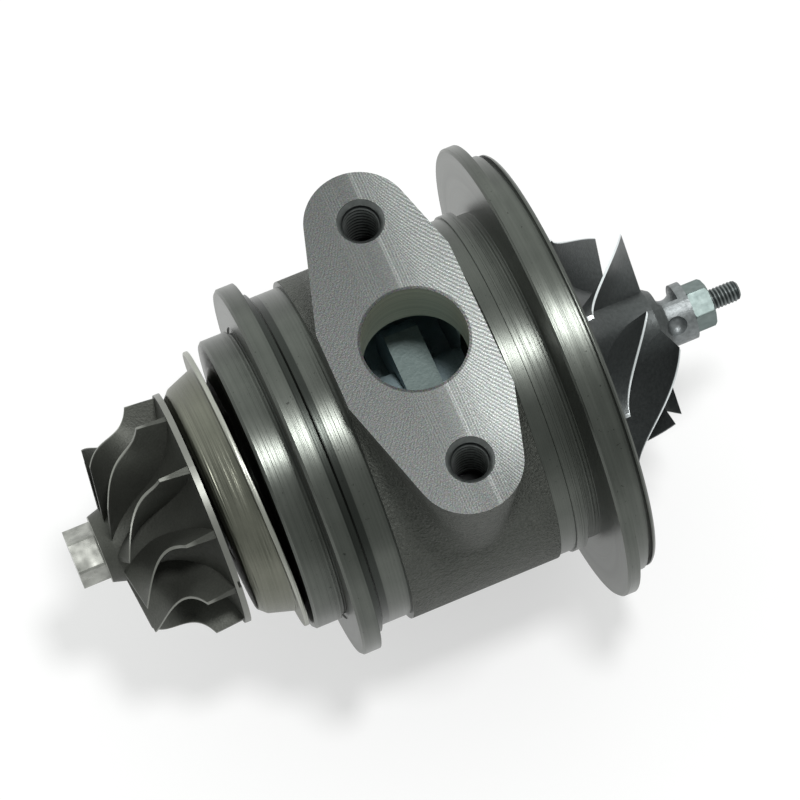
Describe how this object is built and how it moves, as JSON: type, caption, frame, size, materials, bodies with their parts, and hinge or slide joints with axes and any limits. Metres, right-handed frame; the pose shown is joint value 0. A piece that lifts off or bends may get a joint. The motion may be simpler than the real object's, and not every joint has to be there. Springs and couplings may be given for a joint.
{
  "type": "turbo cartridge",
  "caption": "Turbocharger cartridge: turned iron bearing housing with an oil drain pad, and a rotor with a turbine wheel and a compressor wheel at its ends.",
  "frame": {"origin": "on the shaft axis, in the plane of the seating face of the compressor flange, where the compressor pilot starts", "axes": "+X runs along the shaft from the turbine wheel to the compressor wheel, +Z is the outward normal of the oil drain pad, and +Y completes the right-handed frame"},
  "size_m": [0.1309, 0.0876, 0.0876],
  "materials": {
    "cast_iron_housing": "grey iron, rough cast middle, turned and milled faces",
    "turbine_alloy": "dark matt cast nickel alloy, ground blade edges",
    "compressor_aluminium": "dark cast aluminium, bright trimmed blade edges",
    "nut_zinc": "zinc plated, slightly blue",
    "shaft_steel": "ground steel",
    "spring_steel": "dark spring steel",
    "sheet_steel": "satin pressed stainless sheet",
    "insert_aluminium": "turned aluminium",
    "bearing_bronze": "turned bronze",
    "ring_iron": "lapped iron piston ring",
    "seal_rubber": "black nitrile rubber"
  },
  "bodies": {
    "housing": {"bearing_housing": "cast_iron_housing", "bearing_snap_rings": "spring_steel", "thrust_bearing": "bearing_bronze", "thrust_bearing_pins": "shaft_steel", "oil_deflector": "sheet_steel", "seal_insert": "insert_aluminium", "seal_insert_oring": "seal_rubber", "seal_insert_snap_ring": "spring_steel", "turbine_seal_ring": "ring_iron", "compressor_seal_ring": "ring_iron"},
    "rotor": {"rotor_shaft": "shaft_steel", "turbine_wheel": "turbine_alloy", "compressor_wheel": "compressor_aluminium", "shaft_nut": "nut_zinc", "thrust_collar": "shaft_steel", "thrust_spacer": "shaft_steel", "flinger_sleeve": "shaft_steel"},
    "turbine_bearing": {"turbine_journal_bearing": "bearing_bronze"},
    "compressor_bearing": {"compressor_journal_bearing": "bearing_bronze"},
    "shield": {"heat_shield": "sheet_steel"}
  },
  "joints": [
    {"name": "rotor_spin", "type": "hinge", "parent": "housing", "child": "rotor", "pos_m": [0, 0, 0], "axis": [1, 0, 0], "continuous": true},
    {"name": "turbine_bearing_spin", "type": "hinge", "parent": "housing", "child": "turbine_bearing", "pos_m": [-0.0473, 0, 0], "axis": [1, 0, 0], "continuous": true},
    {"name": "compressor_bearing_spin", "type": "hinge", "parent": "housing", "child": "compressor_bearing", "pos_m": [-0.0156, 0, 0], "axis": [1, 0, 0], "continuous": true},
    {"name": "heat_shield_float", "type": "slide", "parent": "housing", "child": "shield", "axis": [1, 0, 0], "range_m": [-0.0002, 0.0002]}
  ]
}
